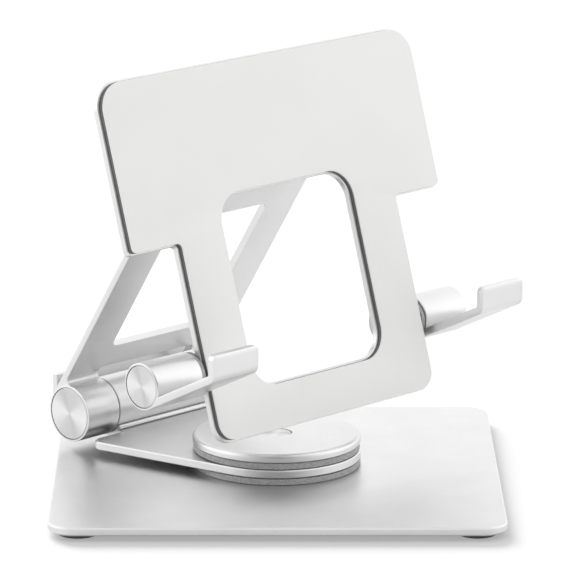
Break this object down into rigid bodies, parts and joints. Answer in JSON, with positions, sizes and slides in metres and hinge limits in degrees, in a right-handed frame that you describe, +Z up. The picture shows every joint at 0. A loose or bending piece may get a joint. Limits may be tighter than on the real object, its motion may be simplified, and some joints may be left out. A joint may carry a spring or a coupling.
{
  "type": "tablet stand",
  "caption": "Folding swivel tablet stand: square base, turntable, leaning rear support with a window, T-shaped padded plate with a window, and folding hooks under the tablet.",
  "frame": {"origin": "on the desk surface under the middle of the whole stand's bounding box, turned as in the rest pose", "axes": "+Z up; the square base's edges run along X and Y and its front edge faces -Y; the turning part is turned 45.3 degrees anticlockwise seen from above, so the tablet plate faces -Y and +X"},
  "size_m": [0.1729, 0.1728, 0.1546],
  "materials": {
    "satin_aluminium": "bead-blasted, satin anodised",
    "spun_aluminium": "spun, radial brushing",
    "grey_polymer": "fine texture",
    "pale_silicone": "matte silicone",
    "dark_foam": "matte foam adhesive",
    "dark_rubber": "matte",
    "zinc_steel": "zinc plated",
    "white_nylon": "smooth"
  },
  "bodies": {
    "base": {"base_plate": "satin_aluminium", "foot_front_left": "dark_rubber", "foot_front_right": "dark_rubber", "foot_rear_left": "dark_rubber", "foot_rear_right": "dark_rubber", "turntable_base": "grey_polymer", "turntable_screw_1": "zinc_steel", "turntable_screw_2": "zinc_steel", "turntable_screw_3": "zinc_steel", "pivot_bolt": "zinc_steel", "pivot_nut": "zinc_steel", "glide_ring": "white_nylon"},
    "turntable": {"swivel_arm": "satin_aluminium", "spacer_ring": "grey_polymer", "top_disc": "satin_aluminium", "disc_cap": "spun_aluminium", "pivot_washer": "white_nylon"},
    "support": {"support_plate": "satin_aluminium", "lower_hinge_pin": "zinc_steel", "lower_hinge_spring_left": "zinc_steel", "lower_hinge_spring_right": "zinc_steel", "lower_hinge_nut_left": "zinc_steel", "lower_hinge_nut_right": "zinc_steel", "lower_hinge_cap_left": "spun_aluminium", "lower_hinge_cap_right": "spun_aluminium"},
    "plate": {"tablet_plate": "satin_aluminium", "pad_backing": "dark_foam", "tablet_pad": "pale_silicone", "upper_hinge_pin": "zinc_steel", "upper_hinge_spring_left": "zinc_steel", "upper_hinge_spring_right": "zinc_steel", "upper_hinge_nut_left": "zinc_steel", "upper_hinge_nut_right": "zinc_steel", "upper_hinge_cap_left": "spun_aluminium", "upper_hinge_cap_right": "spun_aluminium", "hook_left_screw": "zinc_steel", "hook_right_screw": "zinc_steel"},
    "left_hook": {"hook_left": "satin_aluminium", "hook_left_cap": "spun_aluminium", "hook_left_washer": "grey_polymer"},
    "right_hook": {"hook_right": "satin_aluminium", "hook_right_cap": "spun_aluminium", "hook_right_washer": "grey_polymer"}
  },
  "joints": [
    {"name": "swivel", "type": "hinge", "parent": "base", "child": "turntable", "pos_m": [-0.0035, 0.0038, 0.005], "axis": [0, 0, 1], "continuous": true},
    {"name": "lower_hinge", "type": "hinge", "parent": "turntable", "child": "support", "pos_m": [-0.05141, 0.05121, 0.018], "axis": [0.7034, 0.7108, 0], "range_deg": [-33, 6]},
    {"name": "upper_hinge", "type": "hinge", "parent": "support", "child": "plate", "pos_m": [-0.01262, 0.01282, 0.11918], "axis": [0.7034, 0.7108, 0], "range_deg": [-73, 49]},
    {"name": "hook_left_hinge", "type": "hinge", "parent": "plate", "child": "left_hook", "pos_m": [0.00514, -0.00475, 0.05077], "axis": [0.7034, 0.7108, 0], "range_deg": [-80, 0]},
    {"name": "hook_right_hinge", "type": "hinge", "parent": "plate", "child": "right_hook", "pos_m": [0.00514, -0.00475, 0.05077], "axis": [0.7034, 0.7108, 0], "range_deg": [-80, 0]}
  ]
}
